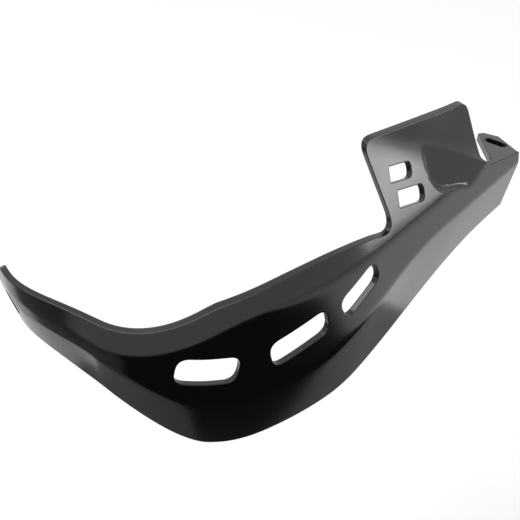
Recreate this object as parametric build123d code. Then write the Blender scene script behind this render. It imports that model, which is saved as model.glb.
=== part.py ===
from build123d import *
import math
import os

# Hand guard for one end of a handlebar, millimetres and degrees.
# Origin: centre of the bar-end hole, in the middle of its wall. +X runs along the
# handlebar towards the middle of the bike, -Y is forward, +Z is up.

# Moulding
wall = 3.5
vent_edge_round = 1.2
crease_round = 9.0
bend_round = 15.0

# Plan line of the shell, followed from the bar-end hole round the front
tip_heading = -102.0
arm_heading = -76.0
nose_heading = -14.0
inner_heading = 16.0
arm_length = 62.0
nose_radius = 58.0
front_radius = 204.0
inner_length = 133.0
tip_length = 11.0
tip_top_round = 12.0
tip_bottom_round = 5.0
tip_droop = 15.0
tip_droop_end = 60.0
station_step = 12.0

# Bar-end hole, and the plan line's distance outside the middle of the wall there
bar_hole_radius = 7.0
bar_hole_seat = 2.0

# Heights of the top edge and the stretches of the plan line over which they change
top_tip = 20.5
top_arm = 16.8
top_front = 32.6
top_fall_start = 5.0
top_fall_end = 75.0
top_rise_start = 60.0
top_rise_end = 170.0

# Heights of the crease between the face and the lower band
crease_tip = 3.0
crease_front = -25.0
crease_inner = 3.0
crease_fall_start = 40.0
crease_fall_end = 150.0
crease_rise_start = 160.0
crease_rise_end = 300.0

# Lower edge of the band and how far it is set back from the crease
bottom_tip = -12.5
bottom_front = -64.0
bottom_inner = -27.0
bottom_fall_start = 10.0
bottom_fall_end = 165.0
bottom_rise_start = 195.0
band_setback_tip = 1.0
band_setback = 13.0
band_setback_inner = 9.0
band_setback_end = 120.0
band_return_start = 220.0
inner_corner_round = 6.0

# Bevel along the top of the arm and front
bevel_width = 10.5
bevel_lean_tip = 8.0
bevel_lean = 40.0
bevel_lean_end = 110.0
face_lean = 2.0

# Wing that rises from the inner part of the face
wing_bend_height = 25.0
wing_length = 64.0
wing_lean = 24.0
wing_start = 142.0
wing_full = 232.0

# Outline of the wing, seen from the front
top_line_start = 38.0
top_line_start_height = 25.9
top_line_peak = 114.0
wing_left_base = 166.5
wing_left_base_height = 24.5
wing_left_top = 158.5
wing_left_height = 73.0
wing_right_top = 241.0
wing_right_height = 57.0
wing_right_base = 242.5
wing_base_round = 7.0
wing_left_round = 6.0
wing_right_round = 8.0

# Tab for the inner clamp, folded back from the top of the inner end
tab_height = 11.4
tab_fall = 13.3
tab_thickness = 4.0
tab_bend_round = 2.0
tab_length = 25.0
tab_root = 24.0
tab_end = 4.0
tab_flare = 2.0
tab_corner = 6.0
tab_scallop = 15.5
tab_slot_width = 6.5
tab_slot_length = 12.5
tab_slot_turn = -60.0
tab_slot_in = 5.8
tab_slot_back = 13.0

# Vents through the face
vent_width = 15.0
vent_corner = 6.5
vent_1_length = 33.0
vent_1_at = 122.0
vent_1_height = -2.0
vent_1_slope = -13.0
vent_2_length = 36.0
vent_2_at = 174.0
vent_2_height = -2.0
vent_2_slope = 11.0
vent_3_length = 28.5
vent_3_at = 215.5
vent_3_height = 6.3
vent_3_slope = 24.0

# Two small vents through the wing
wing_vent_corner = 2.6
wing_vent_slope = -18.0
upper_vent_length = 18.0
upper_vent_width = 7.5
upper_vent_at = 262.0
upper_vent_height = 47.5
lower_vent_length = 20.5
lower_vent_width = 8.5
lower_vent_at = 265.5
lower_vent_height = 35.8

# Round hollow pressed into the wing
dish_radius = 25.0
dish_depth = 4.5
dish_at = 311.0
dish_height = 42.5


def ease(value, low, high):
    """Smooth step from 0 at low to 1 at high."""
    t = min(max((value - low) / (high - low), 0.0), 1.0)
    return t * t * t * (10.0 + t * (6.0 * t - 15.0))


def blend(a, b, t):
    return a + (b - a) * t


nose_length = nose_radius * math.radians(nose_heading - arm_heading)
front_length = front_radius * math.radians(inner_heading - nose_heading)
nose_start = arm_length
front_start = nose_start + nose_length
inner_start = front_start + front_length
shell_length = inner_start + inner_length


def heading_at(s):
    """Plan direction of the shell at the distance s from the bar-end hole."""
    if s < 0.0:
        return tip_heading
    if s < nose_start:
        return blend(arm_heading, tip_heading, (1.0 - s / arm_length) ** 3)
    if s < front_start:
        return blend(arm_heading, nose_heading, (s - nose_start) / nose_length)
    if s < inner_start:
        return blend(nose_heading, inner_heading, (s - front_start) / front_length)
    return inner_heading


def plan_at(s):
    """Plan position of the shell at the distance s from the bar-end hole."""
    start = math.radians(tip_heading)
    x = bar_hole_seat * math.sin(start)
    y = -bar_hole_seat * math.cos(start)
    steps = max(int(abs(s)), 1)
    for i in range(steps):
        h = math.radians(heading_at(s * (i + 0.5) / steps))
        x += s / steps * math.cos(h)
        y += s / steps * math.sin(h)
    return x, y


def to_world(s, outward, up):
    """Point at the distance s along the plan line, set outwards and up."""
    x, y = plan_at(s)
    h = math.radians(heading_at(s))
    return Vector(x + outward * math.sin(h), y - outward * math.cos(h), up)


def facing(s, height, lean):
    """Plane on the outer face at the distance s, its normal outwards and leaning up."""
    h = math.radians(heading_at(s))
    t = math.radians(lean)
    out = Vector(math.sin(h) * math.cos(t), -math.cos(h) * math.cos(t), math.sin(t))
    return Plane(to_world(s, 0.0, height), Vector(math.cos(h), math.sin(h), 0.0), out)


def wing_spot(s, height):
    """Plane on the outer face of the wing at the distance s and the height."""
    t = math.radians(wing_lean)
    back = math.tan(math.radians(face_lean)) * (wing_bend_height - crease_inner)
    spot = to_world(s, -back - (height - wing_bend_height) * math.tan(t), height)
    frame = facing(s, height, wing_lean)
    return Plane(spot, frame.x_dir, frame.z_dir)


def outer_line(s):
    """Corner points (outward, up) of the outer face, top to bottom."""
    grow = ease(s, wing_start, wing_full)
    top = blend(top_tip, top_arm, ease(s, top_fall_start, top_fall_end))
    top = blend(top, top_front, ease(s, top_rise_start, top_rise_end))
    bevel = math.radians(blend(bevel_lean_tip, bevel_lean, ease(s, 0.0, bevel_lean_end)))
    lean = blend(bevel, math.radians(wing_lean), grow)
    width = blend(bevel_width, wing_length, grow)
    shoulder = blend(top - bevel_width * math.cos(bevel), wing_bend_height, grow)
    crease = blend(crease_tip, crease_front, ease(s, crease_fall_start, crease_fall_end))
    crease = blend(crease, crease_inner, ease(s, crease_rise_start, crease_rise_end))
    bottom = blend(bottom_tip, bottom_front, ease(s, bottom_fall_start, bottom_fall_end))
    bottom = blend(bottom, bottom_inner, ease(s, bottom_rise_start, shell_length))
    setback = blend(band_setback_tip, band_setback, ease(s, 0.0, band_setback_end))
    setback = blend(setback, band_setback_inner, ease(s, band_return_start, shell_length))
    back = math.tan(math.radians(face_lean)) * (shoulder - crease)
    points = [
        (-back - width * math.sin(lean), shoulder + width * math.cos(lean)),
        (-back, shoulder),
        (0.0, crease),
        (-setback, bottom),
    ]
    droop = math.tan(math.radians(tip_droop)) * (1.0 - ease(s, 0.0, tip_droop_end))
    return [(u + droop * v, v) for u, v in points]


def shifted(points, amount):
    """The corner line moved towards the inside of the shell by the amount."""
    count = len(points)
    normals = []
    for i in range(count - 1):
        du = points[i + 1][0] - points[i][0]
        dv = points[i + 1][1] - points[i][1]
        size = math.hypot(du, dv)
        normals.append((dv / size, -du / size))
    moved = []
    for i in range(count):
        a = normals[max(i - 1, 0)]
        b = normals[min(i, count - 2)]
        k = amount / (1.0 + a[0] * b[0] + a[1] * b[1])
        moved.append((points[i][0] + k * (a[0] + b[0]), points[i][1] + k * (a[1] + b[1])))
    for i, j in ((0, 1), (count - 1, count - 2)):
        slope = (moved[i][0] - moved[j][0]) / (moved[i][1] - moved[j][1])
        moved[i] = (moved[i][0] + slope * (points[i][1] - moved[i][1]), points[i][1])
    return moved


def rails(depth):
    """The four long corner lines of the wall at the depth below its outer face."""
    rows = [shifted(outer_line(s), depth) for s in stops]
    lines = []
    for k in range(4):
        lines.append(Edge.make_spline([to_world(s, *row[k]) for s, row in zip(stops, rows)]))
    return lines


def nearest_edge(body, point):
    """The edge of the body whose middle is nearest to the point."""
    return body.edges().sort_by(lambda e: (e.center() - point).length)[0]


# Shell: three strips outside, three inside, closed along the edges and the ends
count = round((shell_length + tip_length) / station_step)
stops = [-tip_length + (shell_length + tip_length) * i / count for i in range(count + 1)]
outer = rails(0.0)
inner = rails(wall)
ring = outer + inner[::-1]
skins = []
for k in range(8):
    skins.append(Face.make_surface_from_curves(ring[k], ring[(k + 1) % 8]))
for t in (0.0, 1.0):
    skins.append(Face(Wire.make_polygon([line @ t for line in ring])))
shell = Solid(Shell(skins))
for k, radius in ((1, bend_round), (2, crease_round)):
    shell = shell.fillet(radius, [nearest_edge(shell, outer[k].center())])
    shell = shell.fillet(radius - wall, [nearest_edge(shell, inner[k].center())])
shell = shell.fillet(inner_corner_round, [nearest_edge(shell, (outer[3] @ 1.0 + inner[3] @ 1.0) * 0.5)])

# Rounded corners of the tip, cut square to it
droop_plane = facing(0.0, 0.0, -tip_droop)
bar_plane = Plane((0.0, 0.0, 0.0), droop_plane.x_dir, droop_plane.z_dir)
stretch = 1.0 / math.cos(math.radians(tip_droop))
for height, radius, side in (
    (top_tip, tip_top_round, Align.MIN),
    (bottom_tip, tip_bottom_round, Align.MAX),
):
    up = height * stretch - math.copysign(radius, height)
    with BuildSketch(bar_plane) as corner:
        with Locations((radius - tip_length, up)):
            Rectangle(2.0 * radius, 2.0 * radius, align=(Align.MAX, side))
            Circle(radius, mode=Mode.SUBTRACT)
    shell = shell - extrude(corner.sketch, 15.0, both=True)

# Round hollow pressed into the wing, with its own wall behind it
dish_plane = wing_spot(dish_at, dish_height)
ball = (dish_radius**2 + dish_depth**2) / (2.0 * dish_depth)
middle = Pos(0.0, 0.0, ball - dish_depth) * Rot(90.0, 0.0, 0.0)
behind = Pos(0.0, 0.0, -0.5 * wall) * Cylinder(
    2.0 * dish_radius, 3.0 * dish_radius, align=(Align.CENTER, Align.CENTER, Align.MAX)
)
backing = dish_plane * ((middle * Sphere(ball + wall)) & behind)
body = shell + backing - dish_plane * (middle * Sphere(ball))

# Everything above the outline is cut away, seen from the front
fall = math.tan(math.radians(tab_fall))
end_x = plan_at(shell_length)[0]
far_x = end_x + 40.0
high = 140.0
right_base = Vector(wing_right_base, tab_height + (end_x - wing_right_base) * fall)
with BuildSketch(Plane.XZ) as outline:
    with BuildLine():
        peak = (top_line_peak, top_front)
        rise = TangentArc(peak, (top_line_start, top_line_start_height), tangent=(-1.0, 0.0))
        TangentArc(peak, (wing_left_base, wing_left_base_height), tangent=(1.0, 0.0))
        Polyline(
            (wing_left_base, wing_left_base_height),
            (wing_left_top, wing_left_height),
            (wing_right_top, wing_right_height),
            right_base,
            (far_x, tab_height + (end_x - far_x) * fall),
            (far_x, high),
            (top_line_start, high),
            rise @ 1,
        )
    make_face()
    for x, z, radius in (
        (wing_left_base, wing_left_base_height, wing_base_round),
        (wing_left_top, wing_left_height, wing_left_round),
        (wing_right_top, wing_right_height, wing_right_round),
        (right_base.X, right_base.Y, wing_base_round),
    ):
        spot = outline.vertices().sort_by(lambda v: math.hypot(v.X - x, v.Z - z))[0]
        fillet(spot, radius)
trim = extrude(outline.sketch, amount=150.0, both=True)
guard = body - trim

# Tab folded back from the top of the inner end
end = to_world(shell_length, 0.0, tab_height)
turn = math.radians(tab_fall)
tab_plane = Plane(end, (math.cos(turn), 0.0, -math.sin(turn)), (math.sin(turn), 0.0, math.cos(turn)))
lead = math.tan(math.radians(inner_heading))
inset = 0.5 * wall
with BuildSketch(tab_plane) as tab_outline:
    with BuildLine():
        edge = Polyline(
            (-tab_root, inset + wall - tab_root * lead),
            (-tab_root, inset - tab_root * lead),
            (-inset * lead, inset),
            (tab_flare, tab_length - tab_corner),
            (tab_flare - tab_corner, tab_length),
            (tab_flare - tab_corner - tab_end, tab_length),
        )
        ThreePointArc(edge @ 1, (-tab_scallop, 0.5 * tab_length), edge @ 0)
    make_face()
    with Locations((-tab_slot_in, tab_slot_back)):
        SlotOverall(tab_slot_length, tab_slot_width, rotation=tab_slot_turn, mode=Mode.SUBTRACT)
guard = guard + extrude(tab_outline.sketch, amount=-tab_thickness)

# Vents through the face, rounded along their outer edges
for at, height, slope, length in (
    (vent_1_at, vent_1_height, vent_1_slope, vent_1_length),
    (vent_2_at, vent_2_height, vent_2_slope, vent_2_length),
    (vent_3_at, vent_3_height, vent_3_slope, vent_3_length),
):
    opening = Rot(0.0, 0.0, slope) * RectangleRounded(length, vent_width, vent_corner)
    cutter = facing(at, height, face_lean) * extrude(opening, 15.0, both=True)
    guard = guard - cutter
    rim = []
    for e in guard.edges():
        spot = e @ 0.5
        if cutter.distance_to(spot) < 0.01 and skins[1].distance_to(spot) < 0.3 * wall:
            rim.append(e)
    guard = guard.fillet(vent_edge_round, rim)

# Small vents through the wing
for at, height, length, width in (
    (upper_vent_at, upper_vent_height, upper_vent_length, upper_vent_width),
    (lower_vent_at, lower_vent_height, lower_vent_length, lower_vent_width),
):
    opening = Rot(0.0, 0.0, wing_vent_slope) * RectangleRounded(length, width, wing_vent_corner)
    guard = guard - wing_spot(at, height) * extrude(opening, 15.0, both=True)

# Bend between the face and the tab
fold_at = 0.6 * tab_root
fold = to_world(shell_length - fold_at, 0.0, tab_height + fold_at * math.cos(math.radians(inner_heading)) * fall)
guard = guard.fillet(tab_bend_round, [nearest_edge(guard, fold)])

# Bar-end hole, square to the drooping tip
guard = guard - bar_plane * Cylinder(bar_hole_radius, 30.0)

os.makedirs("parts", exist_ok=True)
export_step(guard, "parts/hand_guard.step")
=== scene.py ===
"""Motorcycle hand guard: its moulded shell, its finish, a plain studio and a camera.

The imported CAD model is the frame: metres, origin at the centre of the bar-end hole, +X along the
handlebar towards the middle of the bike, -Y forward, +Z up. The shell's sizes below are millimetres.
"""

import math

import bpy
import numpy as np
from mathutils import Matrix, Vector


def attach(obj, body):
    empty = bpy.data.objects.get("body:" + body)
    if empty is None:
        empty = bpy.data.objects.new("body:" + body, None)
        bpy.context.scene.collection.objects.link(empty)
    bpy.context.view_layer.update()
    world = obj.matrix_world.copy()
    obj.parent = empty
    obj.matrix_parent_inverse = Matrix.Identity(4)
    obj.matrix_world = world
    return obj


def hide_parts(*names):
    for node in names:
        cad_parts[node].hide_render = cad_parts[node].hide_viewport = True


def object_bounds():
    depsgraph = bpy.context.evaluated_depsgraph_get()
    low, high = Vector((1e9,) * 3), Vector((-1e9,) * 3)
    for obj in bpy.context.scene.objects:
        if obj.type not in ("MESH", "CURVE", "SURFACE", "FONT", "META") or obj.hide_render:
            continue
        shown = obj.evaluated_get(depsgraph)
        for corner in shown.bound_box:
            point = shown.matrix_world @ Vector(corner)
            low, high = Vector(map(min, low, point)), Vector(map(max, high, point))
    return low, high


bl_info = {
    "name": "Hand guard",
    "version": (1, 0, 0),
    "blender": (4, 5, 0),
    "location": "3D View > Sidebar > Hand guard",
    "description": "Moulds a hand guard, finishes it and sets up its studio",
    "category": "Object",
}

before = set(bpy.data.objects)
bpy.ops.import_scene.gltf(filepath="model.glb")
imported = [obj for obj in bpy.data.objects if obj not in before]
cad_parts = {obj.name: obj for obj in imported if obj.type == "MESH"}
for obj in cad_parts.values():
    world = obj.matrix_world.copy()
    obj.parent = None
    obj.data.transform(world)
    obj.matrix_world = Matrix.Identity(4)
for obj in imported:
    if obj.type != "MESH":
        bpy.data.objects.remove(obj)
CAD_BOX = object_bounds()
MM = 0.001

# Plan line of the shell, followed from the bar-end hole round the front: headings and turns in degrees
TIP_HEADING = -102.0
ARM_HEADING = -76.0
NOSE_TURN = 62.0
FRONT_TURN = 30.0
NOSE_RADIUS = 58.0
FRONT_RADIUS = 204.0
TIP = 11.0
ARM = 62.0
NOSE = NOSE_RADIUS * math.radians(NOSE_TURN)
FRONT = FRONT_RADIUS * math.radians(FRONT_TURN)
INNER = 133.0
LENGTH = ARM + NOSE + FRONT + INNER
PLAN_POINTS = 4001

# Bar-end hole, and the plan line's distance outside the middle of the wall there
BAR_HOLE_RADIUS = 7.0
BAR_HOLE_SEAT = 2.0

# Tip: its corners' radii, and its droop, which fades out along the arm
TIP_TOP_RADIUS = 12.0
TIP_BOTTOM_RADIUS = 5.0
TIP_DROOP = math.radians(15.0)
DROOP_END = 60.0

# What changes along the shell: a first value, then each new value and the stretch over which it comes in
TOP_TIP = 20.5
TOP_FRONT = 32.6
BOTTOM_TIP = -12.5
CREASE_INNER = 3.0
TOP_EDGE = (TOP_TIP, (16.8, 5.0, 75.0), (TOP_FRONT, 60.0, 170.0))
CREASE = (3.0, (-25.0, 40.0, 150.0), (CREASE_INNER, 160.0, 300.0))
BOTTOM_EDGE = (BOTTOM_TIP, (-64.0, 10.0, 165.0), (-29.0, 195.0, LENGTH))
BAND_SETBACK = (1.0, (13.0, 0.0, 120.0), (9.0, 220.0, LENGTH))
BEVEL_DEGREES = (8.0, (40.0, 0.0, 110.0))

# Face, bevel and wing: the bevel grows into the wing between two distances from the inner end
FACE_LEAN = math.radians(2.0)
BEVEL_WIDTH = 10.5
WING_WIDTH = 64.0
WING_LEAN = math.radians(24.0)
WING_START = 222.6
WING_FULL = 132.6
BEND_HEIGHT = 21.0
BEND_RADIUS = 15.0
CREASE_RADIUS = 9.0

# Soft fold across the wing: the ends of its line, as distances from the inner end and heights
FOLD_INNER = (31.6, 20.1)
FOLD_OUTER = (117.6, 69.0)
FOLD_LOWEST = 10.0
FOLD_SOFTNESS = 3.0
FOLD_START = 160.0
FOLD_FULL = 105.0
FOLD_RADIUS = 120.0
FOLD_CORNERS = 3

# Where the fold's corners lie on the bevel, and their gaps, as shares of the width
FOLD_SHARE = 0.75
FOLD_GAP_SHARE = 0.1

# Hollow below the fold: its corner as a distance from the inner end and a height, the slopes of its straight
# sides, the corner's radius, and the distances inside the outline between which it fades in
HOLLOW_CORNER = (80.9, 27.9)
HOLLOW_FOOT_SLOPE = math.radians(-21.0)
HOLLOW_SIDE_SLOPE = math.radians(86.0)
HOLLOW_RADIUS = 12.0
HOLLOW_FADE = (-2.0, 0.5)

# Grid of the shell: sections along it, points on each straight run and each bend of a section, the least
# and the most share of a run that a bend takes, and the angle past which an edge is shaded sharp
SECTIONS = 320
LINE_POINTS = 8
BEND_POINTS = 6
BEND_REACH = (0.1, 0.45)
SHARP_ANGLE = math.radians(35.0)

# Points on an arc of an outline, on an eased corner, on each top arc and round the bar-end hole
ARC_POINTS = 16
CORNER_POINTS = 10
TOP_ARC_POINTS = 24
HOLE_POINTS = 60

# Top edge seen from the front: the peak's distance from the inner end, then for the arc on each side the
# place and the height that it passes through and the place where it stops, measured from the peak
PEAK = 167.8
TOP_ARCS = ((-76.0, 25.9, -76.0), (53.8, 23.4, 38.8))

# Corners of the wing seen from the front: distance from the inner end, height and radius
WING_CORNERS = ((114.0, 23.4, 7.0), (122.1, 71.2, 6.0), (41.6, 57.6, 8.0), (36.8, 25.5, 7.0))
WING_INNER_BASE = 28.8

# Height of the top cut, its way past the inner end and its depth each way, and each way through one wall
CUT_TOP = 140.0
CUT_PAST = 40.0
CUT_DEPTH = 150.0
WALL_CUT = 15.0

# Vents through the face: distance along the plan line, height, slope in degrees and length
FACE_VENTS = ((122.0, -2.0, -13.0, 33.0), (174.0, -2.0, 11.0, 36.0), (215.5, 6.3, 24.0, 28.5))
FACE_VENT_WIDTH = 15.0
FACE_VENT_RADII = (6.5, 6.5, 6.5, 6.5)

# Vents through the wing: distance from the inner end, height, length and width, with square outer corners
WING_VENTS = ((100.6, 46.9, 17.5, 8.4), (98.4, 33.6, 21.0, 9.0))
WING_VENT_RADII = (0.0, 3.6, 3.6, 0.0)
WING_VENT_SLOPE = -16.0

# Clamp tab, in its own plane: x past the inner end, y backwards
TAB_HEIGHT = 9.78
TAB_FALL = math.radians(15.2)
TAB_CLEARANCE = 0.02
TAB_THICKNESS = 4.0
TAB_ROOT = 24.0
TAB_ROOT_DEPTHS = (1.75, 5.25)
TAB_CORNERS = ((2.0, 19.0), (-4.0, 25.0), (-8.0, 25.0))
TAB_SCALLOP = (-15.5, 12.5)
SLOT_CENTRE = (-5.8, 13.0)
SLOT_RADIUS = 3.4
SLOT_REACH = 3.1
SLOT_DEGREES = -60.0
SLOT_CUT = (-10.0, 5.0)

# Plastic: size of its dull patches, and the shares of the roughness between which they vary
PATCH_SIZE = 45.0 * MM
PATCH_GLOSS = (0.85, 1.25)

# Camera: pixels across its picture, millimetres across its sensor, and how far it sees in metres
IMAGE_SIZE = 520
SENSOR_WIDTH = 36.0
CAMERA_REACH = 50.0

# Floor's middle in metres, and its added brightness where it is seen
FLOOR_MIDDLE = (0.1, 0.0)
FLOOR_LIFT = 0.13

# Brightness of the world as a light and where it is seen
WORLD_LIGHT = 0.6
WORLD_SEEN = 1.0

# Flags just above the floor: name, then left, right, near and far edge in metres, then colour
FLAG_LIFT = 5.0 * MM
FLAGS = (
    ("front_flag", -1.2, 0.33, -1.6, -0.11, "#080808"),
    ("under_flag", -1.2, 0.33, -0.11, 0.06, "#8c8c8c"),
    ("side_flag", -1.2, -0.12, 0.06, 0.7, "#8c8c8c"),
)

# Lamps: name, place and aim in metres, width, height and power in watts
LAMPS = (
    ("light_right", (0.86, -0.50, 0.05), (0.17, -0.09, 0.05), 0.22, 0.16, 0.8),
    ("light_top", (-0.1, 0.2, 1.3), (0.12, -0.05, 0.0), 1.0, 1.0, 12.0),
)


def linear(hex_colour):
    """sRGB hex to linear RGBA."""
    values = [int(hex_colour[i : i + 2], 16) / 255.0 for i in (1, 3, 5)]
    return [v / 12.92 if v <= 0.04045 else ((v + 0.055) / 1.055) ** 2.4 for v in values] + [1.0]


def add_node(tree, kind, settings=None, inputs=None, links=None):
    """Add a node, set its properties and input values, and link sockets into its inputs."""
    node = tree.nodes.new(kind)
    for name, value in (settings or {}).items():
        setattr(node, name, value)
    for name, value in (inputs or {}).items():
        node.inputs[name].default_value = value
    for name, socket in (links or {}).items():
        tree.links.new(socket, node.inputs[name])
    return node


def new_material(name):
    """An empty node material and its tree."""
    material = bpy.data.materials.new(name)
    material.use_nodes = True
    material.node_tree.nodes.clear()
    return material, material.node_tree


def new_object(name, points, faces):
    """A mesh object at the origin from points in metres."""
    mesh = bpy.data.meshes.new(name)
    mesh.from_pydata(points.tolist(), [], faces)
    obj = bpy.data.objects.new(name, mesh)
    bpy.context.scene.collection.objects.link(obj)
    return obj


def moulded(name, points, faces):
    """A mesh object at the origin from points in millimetres."""
    return new_object(name, points * MM, faces)


def ease(value, low, high):
    """Smooth step from 0 at low to 1 at high: t^3 (10 - 15 t + 6 t^2)."""
    t = np.clip((value - low) / (high - low), 0.0, 1.0)
    return t**3 * (10.0 + t * (6.0 * t - 15.0))


def blend(a, b, t):
    """Straight mix of a and b."""
    return a + (b - a) * t


def curved(a, p, b, t):
    """The curve (1-t)^2 a + 2t(1-t) p + t^2 b from a to b, pulled towards p."""
    return (1.0 - t) ** 2 * a + 2.0 * t * (1.0 - t) * p + t**2 * b


def unit(vectors):
    """The vectors at length 1."""
    return vectors / np.linalg.norm(vectors, axis=-1, keepdims=True)


def followed(changes, s):
    """Value at the distances s: the first value, blended into each new one by a smooth step."""
    value = changes[0]
    for new_value, start, stop in changes[1:]:
        value = blend(value, new_value, ease(s, start, stop))
    return value


def heading(s):
    """Plan direction at the distance s from the bar-end hole: it turns along the arm by a cube, then
    evenly round the nose and the front."""
    arm = blend(ARM_HEADING, TIP_HEADING, (1.0 - np.clip(s / ARM, 0.0, 1.0)) ** 3)
    nose = NOSE_TURN * np.clip((s - ARM) / NOSE, 0.0, 1.0)
    front = FRONT_TURN * np.clip((s - ARM - NOSE) / FRONT, 0.0, 1.0)
    return np.radians(arm + nose + front)


def to_world(s, outward, up):
    """Point at the distance s along the plan line, the running sum of its direction, set outwards and
    up."""
    fine = np.linspace(-TIP, LENGTH, PLAN_POINTS)
    step = fine[1] - fine[0]
    turn = heading(fine[:-1] + 0.5 * step)
    x = np.concatenate([[0.0], np.cumsum(np.cos(turn) * step)])
    y = np.concatenate([[0.0], np.cumsum(np.sin(turn) * step)])
    start = heading(0.0)
    x += BAR_HOLE_SEAT * np.sin(start) - np.interp(0.0, fine, x)
    y -= BAR_HOLE_SEAT * np.cos(start) + np.interp(0.0, fine, y)
    h = heading(s)
    across = np.interp(s, fine, x) + outward * np.sin(h)
    along = np.interp(s, fine, y) - outward * np.cos(h)
    return np.stack(np.broadcast_arrays(across, along, up), axis=-1)


def facing(s, height, lean):
    """Place on the face: its origin, then its directions along the guard, up the face and outwards."""
    h = heading(s)
    side = np.array([np.cos(h), np.sin(h), 0.0])
    out = np.array([np.sin(h) * np.cos(lean), -np.cos(h) * np.cos(lean), np.sin(lean)])
    return to_world(s, 0.0, height), side, np.cross(out, side), out


def wing_spot(back, height):
    """Place on the wing at a distance back from the inner end and a height."""
    s = LENGTH - back
    inward = math.tan(FACE_LEAN) * (BEND_HEIGHT - CREASE_INNER)
    spot = to_world(s, -inward - (height - BEND_HEIGHT) * math.tan(WING_LEAN), height)
    return (spot,) + facing(s, height, WING_LEAN)[1:]


def fold_distance(s, width, folded):
    """Distance of the fold from the wing's foot: a straight line across the wing, held above its lowest
    place by the soft maximum log(1 + exp(x)), and a share of the width where there is no fold."""
    t = (LENGTH - s - FOLD_INNER[0]) / (FOLD_OUTER[0] - FOLD_INNER[0])
    rise = blend(FOLD_INNER[1] - BEND_HEIGHT, FOLD_OUTER[1] - BEND_HEIGHT, t) / math.cos(WING_LEAN)
    rise = FOLD_LOWEST + FOLD_SOFTNESS * np.logaddexp(0.0, (rise - FOLD_LOWEST) / FOLD_SOFTNESS)
    return blend(FOLD_SHARE * width, rise, folded)


def outer_line(s, fold_turn):
    """Corner points (outward, up) of the outer face at the distances s, from top to bottom: the top edge,
    the fold's corners, the wing's foot, the crease and the lower edge, each by smooth steps along s."""
    grow = ease(s, LENGTH - WING_START, LENGTH - WING_FULL)
    folded = ease(s, LENGTH - FOLD_START, LENGTH - FOLD_FULL)
    bevel = np.radians(followed(BEVEL_DEGREES, s))
    lean = blend(bevel, WING_LEAN, grow)
    width = blend(BEVEL_WIDTH, WING_WIDTH, grow)
    foot = blend(followed(TOP_EDGE, s) - BEVEL_WIDTH * np.cos(bevel), BEND_HEIGHT, grow)
    crease = followed(CREASE, s)
    fold = fold_distance(s, width, folded)
    gap = FOLD_GAP_SHARE * width
    points = [
        (-followed(BAND_SETBACK, s), followed(BOTTOM_EDGE, s)),
        (0.0 * s, crease),
        (-math.tan(FACE_LEAN) * (foot - crease), foot),
    ]
    for i, length in enumerate((fold - gap, gap, gap, width - fold - gap)):
        slant = lean - fold_turn * folded * i / FOLD_CORNERS
        outward, up = points[-1]
        points.append((outward - length * np.sin(slant), up + length * np.cos(slant)))
    droop = math.tan(TIP_DROOP) * (1.0 - ease(s, 0.0, DROOP_END))
    return np.stack([np.stack([u + droop * v, v], axis=-1) for u, v in points[::-1]], axis=1)


def rounded(points, radii):
    """The corner lines eased: each corner becomes a curve whose ends a and b lie at radius * tan(turn / 2)
    from it, held within shares of the shorter run beside it."""
    runs = []
    last = points[:, :1]
    t = np.linspace(0.0, 1.0, BEND_POINTS)[None, :, None]
    for k, radius in enumerate(radii, start=1):
        corner = points[:, k : k + 1]
        before = points[:, k - 1 : k] - corner
        after = points[:, k + 1 : k + 2] - corner
        turn = np.pi - np.arccos(np.clip((unit(before) * unit(after)).sum(-1, keepdims=True), -1.0, 1.0))
        room = np.minimum(np.linalg.norm(before, axis=-1), np.linalg.norm(after, axis=-1))[..., None]
        reach = np.clip(radius * np.tan(0.5 * turn), BEND_REACH[0] * room, BEND_REACH[1] * room)
        a = corner + unit(before) * reach
        b = corner + unit(after) * reach
        runs.append(last + (a - last) * np.linspace(0.0, 1.0, LINE_POINTS, endpoint=False)[None, :, None])
        runs.append(curved(a, corner, b, t)[:, :-1])
        last = b
    runs.append(last + (points[:, -1:] - last) * np.linspace(0.0, 1.0, LINE_POINTS)[None, :, None])
    return np.concatenate(runs, axis=1)


def inner_line(line, wall):
    """The lines moved inwards by the wall, with their end runs stretched so that the ends keep their
    heights."""
    step = unit(np.diff(line, axis=1))
    along = unit(np.concatenate([step[:, :1], step[:, 1:] + step[:, :-1], step[:, -1:]], axis=1))
    moved = line + wall * np.stack([along[..., 1], -along[..., 0]], axis=-1)
    for end in (0, -1):
        slide = (line[:, end, 1] - moved[:, end, 1]) / along[:, end, 1]
        moved[:, end] += along[:, end] * slide[:, None]
    t = np.linspace(0.0, 1.0, LINE_POINTS)[None, :, None]
    moved[:, :LINE_POINTS] = blend(moved[:, :1], moved[:, LINE_POINTS - 1 : LINE_POINTS], t)
    moved[:, -LINE_POINTS:] = blend(moved[:, -LINE_POINTS : 1 - LINE_POINTS], moved[:, -1:], t)
    return moved


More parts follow.
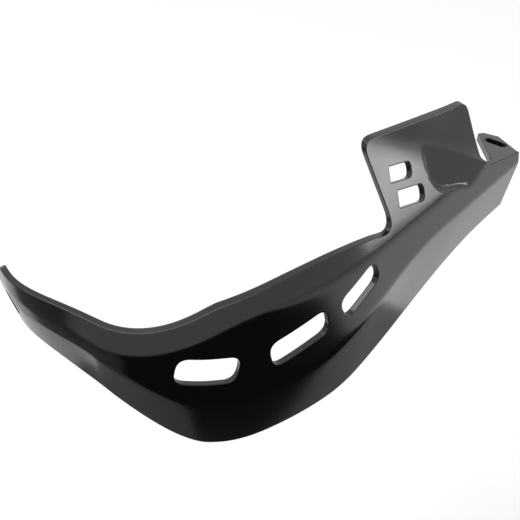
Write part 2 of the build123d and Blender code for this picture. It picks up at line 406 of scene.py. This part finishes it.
def hollow_sink(points, hollow_turn):
    """Way in from the outer face to the hollow's floor, a plane through the fold: its depth below the
    face, faded in across an outline of two straight sides and a round corner."""
    end = wing_spot(*FOLD_INNER)[0]
    start = wing_spot(*FOLD_OUTER)[0]
    up = facing(LENGTH, 0.0, WING_LEAN - hollow_turn)[2]
    out = unit(np.cross(end - start, up))
    spot, side = wing_spot(*HOLLOW_CORNER)[:2]
    side = unit(side - out * side.dot(out))
    rise = np.cross(out, side)
    away = points - spot
    above = away @ (math.cos(HOLLOW_FOOT_SLOPE) * rise - math.sin(HOLLOW_FOOT_SLOPE) * side)
    beside = away @ (math.sin(HOLLOW_SIDE_SLOPE) * side - math.cos(HOLLOW_SIDE_SLOPE) * rise)
    off_centre = np.hypot(np.maximum(HOLLOW_RADIUS - above, 0.0), np.maximum(HOLLOW_RADIUS - beside, 0.0))
    in_corner = (above < HOLLOW_RADIUS) & (beside < HOLLOW_RADIUS)
    inside = np.where(in_corner, HOLLOW_RADIUS - off_centre, np.minimum(above, beside))
    depth = np.maximum((points - end) @ out, 0.0) * ease(inside, *HOLLOW_FADE)
    return -depth[..., None] * out


def shell_grid(settings):
    """Closed wall: a grid of section lines P(s, t), outer face then inner face, one ring of points per
    section."""
    s = np.linspace(-TIP, LENGTH, SECTIONS)
    radii = [FOLD_RADIUS] * FOLD_CORNERS + [BEND_RADIUS, CREASE_RADIUS]
    line = rounded(outer_line(s, settings.fold_turn), radii)
    back = inner_line(line, settings.wall / MM)
    outer = to_world(s[:, None], line[..., 0], line[..., 1])
    inner = to_world(s[:, None], back[..., 0], back[..., 1])
    sink = hollow_sink(outer, settings.hollow_turn)
    ring = np.concatenate([outer + sink, (inner + sink)[:, ::-1]], axis=1)
    rows, count = ring.shape[:2]
    i, k = np.meshgrid(np.arange(rows - 1) * count, np.arange(count), indexing="ij")
    after = (k + 1) % count
    quads = np.stack([i + k, i + after, i + count + after, i + count + k], axis=-1)
    k = np.arange(count // 2 - 1)
    cap = np.stack([k, count - 1 - k, count - 2 - k, k + 1], axis=-1)
    faces = np.concatenate([quads.reshape(-1, 4), cap, cap[:, ::-1] + (rows - 1) * count])
    return ring.reshape(-1, 3), faces.tolist()


def prism(outline, place, low, high):
    """Straight-sided solid over an outline (x, y) in a place, from low to high along its last
    direction."""
    following = np.roll(outline, -1, axis=0)
    if (outline[:, 0] * following[:, 1] - following[:, 0] * outline[:, 1]).sum() < 0.0:
        outline = outline[::-1]
    origin, x, y, z = place
    flat = origin + outline[:, :1] * x + outline[:, 1:] * y
    count = len(outline)
    k = np.arange(count)
    after = (k + 1) % count
    sides = np.stack([k, after, after + count, k + count], axis=-1)
    faces = [k[::-1].tolist(), (k + count).tolist()] + sides.tolist()
    return np.concatenate([flat + low * z, flat + high * z]), faces


def joined(solids):
    """Several solids as one list of points and faces."""
    points = []
    faces = []
    shift = 0
    for solid_points, solid_faces in solids:
        points.append(solid_points)
        faces += [(np.array(face) + shift).tolist() for face in solid_faces]
        shift += len(solid_points)
    return np.concatenate(points), faces


def arc(centre, radius, start, stop, count=ARC_POINTS):
    """Points round a centre between two angles in degrees."""
    a = np.radians(np.linspace(start, stop, count))
    return np.stack([centre[0] + radius * np.cos(a), centre[1] + radius * np.sin(a)], axis=-1)


def eased(corners, radii):
    """A closed outline with each corner that has a radius eased, its curve's ends at
    radius * tan(turn / 2) from it."""
    points = []
    t = np.linspace(0.0, 1.0, CORNER_POINTS)[:, None]
    for k, (corner, radius) in enumerate(zip(corners, radii)):
        p = np.array(corner)
        if radius <= 0.0:
            points.append(p[None])
            continue
        before = unit(np.array(corners[k - 1]) - p)
        after = unit(np.array(corners[(k + 1) % len(corners)]) - p)
        turn = math.pi - math.acos(np.clip(before.dot(after), -1.0, 1.0))
        reach = radius * math.tan(0.5 * turn)
        points.append(curved(p + before * reach, p, p + after * reach, t))
    return np.concatenate(points)


def turned(outline, degrees):
    """The outline turned about its origin."""
    a = math.radians(degrees)
    return outline @ np.array([[math.cos(a), math.sin(a)], [-math.sin(a), math.cos(a)]])


def vent(length, width, radii, degrees):
    """Outline of a vent: a rectangle about its middle with eased corners, turned by its slope."""
    x = 0.5 * length
    y = 0.5 * width
    return turned(eased([(-x, -y), (x, -y), (x, y), (-x, y)], radii), degrees)


def top_outline():
    """Outline of what lies above the top edge and the wing, seen from the front: two arcs level at the
    peak, of radius (reach^2 + drop^2) / (2 drop), then the wing's corners and a line just above the tab."""
    end = to_world(LENGTH, 0.0, 0.0)[0]
    arcs = []
    for reach, height, stop in TOP_ARCS:
        drop = TOP_FRONT - height
        radius = (reach**2 + drop**2) / (2.0 * drop)
        x = np.linspace(0.0, stop, TOP_ARC_POINTS)
        arcs.append(np.stack([end - PEAK + x, TOP_FRONT - radius + np.sqrt(radius**2 - x**2)], axis=-1))
    line = np.concatenate([arcs[0][::-1], arcs[1][1:]])
    corners = [line[-1]] + [(end - back, height) for back, height, _ in WING_CORNERS]
    for back in (WING_INNER_BASE, -CUT_PAST):
        corners.append((end - back, TAB_HEIGHT + TAB_CLEARANCE + back * math.tan(TAB_FALL)))
    corners += [(end + CUT_PAST, CUT_TOP), (line[0, 0], CUT_TOP), line[0]]
    radii = [corner_radius for _, _, corner_radius in WING_CORNERS]
    square = [0.0] * (len(corners) - 1 - len(radii))
    return np.concatenate([line, eased(corners, [0.0] + radii + square)[1:-1]])


def openings():
    """Everything that is cut away: above the top edge, the tip's corners, the bar-end hole and the
    vents."""
    front = np.array([(0.0, 0.0, 0.0), (1.0, 0.0, 0.0), (0.0, 0.0, 1.0), (0.0, -1.0, 0.0)])
    solids = [prism(top_outline(), front, -CUT_DEPTH, CUT_DEPTH)]
    tip = (np.zeros(3),) + facing(0.0, 0.0, -TIP_DROOP)[1:]
    walls = []
    for height, radius, way in ((TOP_TIP, TIP_TOP_RADIUS, 1.0), (BOTTOM_TIP, TIP_BOTTOM_RADIUS, -1.0)):
        x = radius - TIP
        y = height / math.cos(TIP_DROOP) - way * radius
        left = x - 2.0 * radius
        far = y + way * 2.0 * radius
        curve = arc((x, y), radius, way * 90.0, way * 180.0)
        walls.append((np.concatenate([curve, [(left, y), (left, far), (x, far)]]), tip))
    last = 360.0 - 360.0 / HOLE_POINTS
    walls.append((arc((0.0, 0.0), BAR_HOLE_RADIUS, 0.0, last, HOLE_POINTS), tip))
    for at, height, degrees, length in FACE_VENTS:
        outline = vent(length, FACE_VENT_WIDTH, FACE_VENT_RADII, degrees)
        walls.append((outline, facing(at, height, FACE_LEAN)))
    for back, height, length, width in WING_VENTS:
        outline = vent(length, width, WING_VENT_RADII, WING_VENT_SLOPE)
        walls.append((outline, wing_spot(back, height)))
    solids += [prism(outline, place, -WALL_CUT, WALL_CUT) for outline, place in walls]
    return joined(solids)


def tab_place():
    """Place of the tab's upper face at the inner end."""
    along = np.array([math.cos(TAB_FALL), 0.0, -math.sin(TAB_FALL)])
    up = np.array([math.sin(TAB_FALL), 0.0, math.cos(TAB_FALL)])
    return to_world(LENGTH, 0.0, TAB_HEIGHT), along, np.array([0.0, 1.0, 0.0]), up


def tab_outline():
    """Outline of the tab: a root inside the wall, straight edges with a cut corner, and a curve on the
    outer side that passes through the middle of its scallop."""
    lead = math.tan(heading(LENGTH))
    near, far = TAB_ROOT_DEPTHS
    edge = [(-TAB_ROOT, far - TAB_ROOT * lead), (-TAB_ROOT, near - TAB_ROOT * lead), (-near * lead, near)]
    edge += TAB_CORNERS
    a = np.array(edge[-1])
    b = np.array(edge[0])
    pull = 2.0 * np.array(TAB_SCALLOP) - 0.5 * (a + b)
    t = np.linspace(0.0, 1.0, ARC_POINTS)[1:-1, None]
    return np.concatenate([edge, curved(a, pull, b, t)])


def slot_outline():
    """Outline of the tab's slot: two half circles and the straight sides between them."""
    right = arc((SLOT_REACH, 0.0), SLOT_RADIUS, -90.0, 90.0)
    left = arc((-SLOT_REACH, 0.0), SLOT_RADIUS, 90.0, 270.0)
    return turned(np.concatenate([right, left]), SLOT_DEGREES) + np.array(SLOT_CENTRE)


def combine(base, other, operation, crossing=False):
    """Join the other mesh to the base or cut it away, and drop it. Crossing allows for a base that
    crosses itself."""
    modifier = base.modifiers.new("combine", "BOOLEAN")
    modifier.operation = operation
    modifier.object = other
    modifier.solver = "EXACT"
    modifier.use_self = crossing
    graph = bpy.context.evaluated_depsgraph_get()
    base.data = bpy.data.meshes.new_from_object(base.evaluated_get(graph))
    base.modifiers.clear()
    bpy.data.objects.remove(other)


def black_plastic(finish):
    """Black polypropylene from a polished mould: a deep gloss with a faint orange peel and a few dull
    patches, and edges that shade as if rounded. A bump and a dip of the peel are each one grain wide."""
    material, tree = new_material("black_gloss_polypropylene")
    place = add_node(tree, "ShaderNodeTexCoord")
    peel = add_node(
        tree,
        "ShaderNodeTexNoise",
        inputs={"Scale": 1.0 / (2.0 * finish.grain), "Detail": 2.0},
        links={"Vector": place.outputs["Object"]},
    )
    patches = add_node(
        tree,
        "ShaderNodeTexNoise",
        inputs={"Scale": 1.0 / PATCH_SIZE, "Detail": 3.0, "Roughness": 0.55},
        links={"Vector": place.outputs["Object"]},
    )
    gloss = add_node(
        tree,
        "ShaderNodeMapRange",
        inputs={
            "From Min": 0.3,
            "From Max": 0.7,
            "To Min": finish.roughness * PATCH_GLOSS[0],
            "To Max": finish.roughness * PATCH_GLOSS[1],
        },
        links={"Value": patches.outputs["Fac"]},
    )
    edges = add_node(tree, "ShaderNodeBevel", {"samples": 8}, {"Radius": finish.edge})
    bump = add_node(
        tree,
        "ShaderNodeBump",
        inputs={"Strength": 0.05, "Distance": 0.1 * MM},
        links={"Height": peel.outputs["Fac"], "Normal": edges.outputs["Normal"]},
    )
    shader = add_node(
        tree,
        "ShaderNodeBsdfPrincipled",
        inputs={"Base Color": finish.colour, "IOR": 1.49},
        links={"Roughness": gloss.outputs["Result"], "Normal": bump.outputs["Normal"]},
    )
    add_node(tree, "ShaderNodeOutputMaterial", links={"Surface": shader.outputs["BSDF"]})
    return material


def seen_directly(tree):
    """1 for rays from the camera, from a reflection or through glass, 0 for the rest."""
    path = add_node(tree, "ShaderNodeLightPath")
    seen = path.outputs["Is Camera Ray"]
    for ray in ("Is Glossy Ray", "Is Transmission Ray"):
        seen = add_node(
            tree,
            "ShaderNodeMath",
            {"operation": "MAXIMUM"},
            links={0: seen, 1: path.outputs[ray]},
        ).outputs["Value"]
    return seen


def floor_paper(colour):
    """White studio paper: lifted towards white where it is seen, and still darker in the guard's
    shadow."""
    material, tree = new_material("white_studio_paper")
    paper = add_node(tree, "ShaderNodeBsdfDiffuse", inputs={"Color": colour})
    lift = add_node(
        tree,
        "ShaderNodeMath",
        {"operation": "MULTIPLY"},
        {1: FLOOR_LIFT},
        {0: seen_directly(tree)},
    )
    glow = add_node(tree, "ShaderNodeEmission", links={"Strength": lift.outputs["Value"]})
    both = add_node(
        tree,
        "ShaderNodeAddShader",
        links={0: paper.outputs["BSDF"], 1: glow.outputs["Emission"]},
    )
    add_node(tree, "ShaderNodeOutputMaterial", links={"Surface": both.outputs["Shader"]})
    return material


def felt(name, colour):
    """Dull felt: keeps the light of the floor out of the gloss."""
    material, tree = new_material(name)
    cloth = add_node(tree, "ShaderNodeBsdfDiffuse", inputs={"Color": linear(colour)})
    add_node(tree, "ShaderNodeOutputMaterial", links={"Surface": cloth.outputs["BSDF"]})
    return material


def white_world(scene):
    """White to the camera and in reflections, a soft grey light elsewhere."""
    world = bpy.data.worlds.new("studio_world")
    scene.world = world
    world.use_nodes = True
    tree = world.node_tree
    tree.nodes.clear()
    strength = add_node(
        tree,
        "ShaderNodeMapRange",
        inputs={"To Min": WORLD_LIGHT, "To Max": WORLD_SEEN},
        links={"Value": seen_directly(tree)},
    )
    sky = add_node(
        tree,
        "ShaderNodeBackground",
        inputs={"Color": (1.0, 1.0, 1.0, 1.0)},
        links={"Strength": strength.outputs["Result"]},
    )
    add_node(tree, "ShaderNodeOutputWorld", links={"Surface": sky.outputs["Background"]})


def level_sheet(name, left, right, near, far, height):
    """A level rectangle between its four edges."""
    corners = [(x, y, height) for x, y in ((left, near), (right, near), (right, far), (left, far))]
    return new_object(name, np.array(corners), [(0, 1, 2, 3)])


def softbox(name, place, aim, width, height, power):
    """A rectangular area lamp at the place, facing the aim."""
    lamp = bpy.data.lights.new(name, "AREA")
    lamp.shape = "RECTANGLE"
    lamp.size = width
    lamp.size_y = height
    lamp.energy = power
    obj = bpy.data.objects.new(name, lamp)
    obj.location = place
    obj.rotation_euler = (Vector(aim) - Vector(place)).to_track_quat("-Z", "Y").to_euler()
    obj.visible_camera = False
    bpy.context.scene.collection.objects.link(obj)


def camera(scene, studio):
    """Camera turned and raised round the bar-end hole, then moved sideways until the hole has its place
    in the picture."""
    a = studio.azimuth
    e = studio.elevation
    right = Vector((math.cos(a), math.sin(a), 0.0))
    back = Vector((math.sin(a) * math.cos(e), -math.cos(a) * math.cos(e), math.sin(e)))
    up = back.cross(right)
    per_pixel = studio.distance * SENSOR_WIDTH / studio.focal_length / IMAGE_SIZE
    place = back * studio.distance
    place += right * (IMAGE_SIZE / 2 - studio.hole_across) * per_pixel
    place += up * (studio.hole_down - IMAGE_SIZE / 2) * per_pixel
    data = bpy.data.cameras.new("camera")
    data.lens = studio.focal_length
    data.sensor_width = SENSOR_WIDTH
    data.clip_end = CAMERA_REACH
    obj = bpy.data.objects.new("camera", data)
    obj.matrix_world = Matrix.Translation(place) @ Matrix((right, up, back)).transposed().to_4x4()
    scene.collection.objects.link(obj)
    scene.camera = obj


class GuardShell(bpy.types.PropertyGroup):
    """Sizes of the moulded shell."""

    wall: bpy.props.FloatProperty(
        name="Wall",
        description="Thickness of the moulded wall",
        default=3.5 * MM,
        unit="LENGTH",
    )
    fold_turn: bpy.props.FloatProperty(
        name="Fold turn",
        description="Turn of the wing above its fold",
        default=math.radians(8.1),
        subtype="ANGLE",
    )
    hollow_turn: bpy.props.FloatProperty(
        name="Hollow turn",
        description="Turn of the hollow's floor",
        default=math.radians(9.4),
        subtype="ANGLE",
    )


class GuardFinish(bpy.types.PropertyGroup):
    """Look of the plastic."""

    colour: bpy.props.FloatVectorProperty(
        name="Colour",
        description="Colour of the plastic",
        subtype="COLOR",
        size=4,
        default=linear("#0c0c0d"),
    )
    roughness: bpy.props.FloatProperty(
        name="Roughness",
        description="Roughness of the moulded face",
        default=0.17,
        min=0.0,
        max=1.0,
        subtype="FACTOR",
    )
    grain: bpy.props.FloatProperty(
        name="Grain",
        description="Size of the moulded grain",
        default=0.9 * MM,
        unit="LENGTH",
    )
    edge: bpy.props.FloatProperty(
        name="Edge",
        description="Radius of the softened edges",
        default=0.9 * MM,
        unit="LENGTH",
    )


class GuardStudio(bpy.types.PropertyGroup):
    """Camera and floor."""

    azimuth: bpy.props.FloatProperty(
        name="Azimuth",
        description="Camera's turn towards the outer side",
        default=math.radians(-37.0),
        subtype="ANGLE",
    )
    elevation: bpy.props.FloatProperty(
        name="Elevation",
        description="Camera's height above the horizon",
        default=math.radians(37.0),
        subtype="ANGLE",
    )
    distance: bpy.props.FloatProperty(
        name="Distance",
        description="Camera's distance from the bar-end hole",
        default=1.0007,
        unit="LENGTH",
    )
    focal_length: bpy.props.FloatProperty(
        name="Focal length",
        description="Lens of the camera in millimetres",
        default=138.46,
    )
    hole_across: bpy.props.FloatProperty(
        name="Hole across",
        description="Bar-end hole's place in the picture, pixels from the left",
        default=15.3,
    )
    hole_down: bpy.props.FloatProperty(
        name="Hole down",
        description="Bar-end hole's place in the picture, pixels from the top",
        default=300.45,
    )
    floor_drop: bpy.props.FloatProperty(
        name="Floor drop",
        description="Gap from the guard down to the floor",
        default=140.0 * MM,
        unit="LENGTH",
    )
    floor_size: bpy.props.FloatProperty(
        name="Floor size",
        description="Side of the floor",
        default=6.0,
        unit="LENGTH",
    )
    floor_colour: bpy.props.FloatVectorProperty(
        name="Floor colour",
        description="Colour of the floor",
        subtype="COLOR",
        size=4,
        default=linear("#f2f2f2"),
    )


class GUARD_OT_shell(bpy.types.Operator):
    """Mould the shell: the wall, its openings and the tab."""

    bl_idname = "guard.shell"
    bl_label = "Moulded shell"

    def execute(self, context):
        shell = moulded("moulded_shell", *shell_grid(context.scene.guard_shell))
        combine(shell, moulded("openings", *openings()), "DIFFERENCE", crossing=True)
        tab = moulded("tab", *prism(tab_outline(), tab_place(), -TAB_THICKNESS, 0.0))
        combine(tab, moulded("slot", *prism(slot_outline(), tab_place(), *SLOT_CUT)), "DIFFERENCE")
        combine(shell, tab, "UNION")
        shell.data.name = shell.name
        shell.data.shade_smooth()
        shell.data.set_sharp_from_angle(angle=SHARP_ANGLE)
        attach(shell, "root")
        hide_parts("hand_guard")
        return {"FINISHED"}


class GUARD_OT_finish(bpy.types.Operator):
    """Give the moulded shell its black gloss plastic."""

    bl_idname = "guard.finish"
    bl_label = "Finish"

    def execute(self, context):
        shell = bpy.data.objects["moulded_shell"]
        shell.data.materials.clear()
        shell.data.materials.append(black_plastic(context.scene.guard_finish))
        return {"FINISHED"}


class GUARD_OT_studio(bpy.types.Operator):
    """Set up the floor, the flags, the lamps and the camera."""

    bl_idname = "guard.studio"
    bl_label = "Studio"

    def execute(self, context):
        studio = context.scene.guard_studio
        context.scene.view_settings.view_transform = "Standard"
        white_world(context.scene)
        low = CAD_BOX[0].z - studio.floor_drop
        half = 0.5 * studio.floor_size
        x, y = FLOOR_MIDDLE
        floor = level_sheet("floor", x - half, x + half, y - half, y + half, low)
        floor.data.materials.append(floor_paper(studio.floor_colour))
        for name, left, right, near, far, colour in FLAGS:
            flag = level_sheet(name, left, right, near, far, low + FLAG_LIFT)
            flag.data.materials.append(felt(name + "_felt", colour))
            for ray in ("camera", "diffuse", "shadow", "transmission"):
                setattr(flag, "visible_" + ray, False)
        for lamp in LAMPS:
            softbox(*lamp)
        camera(context.scene, studio)
        return {"FINISHED"}


class GUARD_PT_panel(bpy.types.Panel):
    """The hand guard's settings and steps."""

    bl_idname = "GUARD_PT_panel"
    bl_label = "Hand guard"
    bl_space_type = "VIEW_3D"
    bl_region_type = "UI"
    bl_category = "Hand guard"

    def draw(self, context):
        scene = context.scene
        for settings in (scene.guard_shell, scene.guard_finish, scene.guard_studio):
            for name in settings.bl_rna.properties.keys():
                if name not in {"rna_type", "name"}:
                    self.layout.prop(settings, name)
        for operator in (GUARD_OT_shell, GUARD_OT_finish, GUARD_OT_studio):
            self.layout.operator(operator.bl_idname)


CLASSES = (
    GuardShell,
    GuardFinish,
    GuardStudio,
    GUARD_OT_shell,
    GUARD_OT_finish,
    GUARD_OT_studio,
    GUARD_PT_panel,
)


def register():
    for cls in CLASSES:
        bpy.utils.register_class(cls)
    bpy.types.Scene.guard_shell = bpy.props.PointerProperty(type=GuardShell)
    bpy.types.Scene.guard_finish = bpy.props.PointerProperty(type=GuardFinish)
    bpy.types.Scene.guard_studio = bpy.props.PointerProperty(type=GuardStudio)


def unregister():
    del bpy.types.Scene.guard_studio
    del bpy.types.Scene.guard_finish
    del bpy.types.Scene.guard_shell
    for cls in reversed(CLASSES):
        bpy.utils.unregister_class(cls)


def main():
    register()
    bpy.ops.guard.shell()
    bpy.ops.guard.finish()
    bpy.ops.guard.studio()


if __name__ == "__main__":
    main()
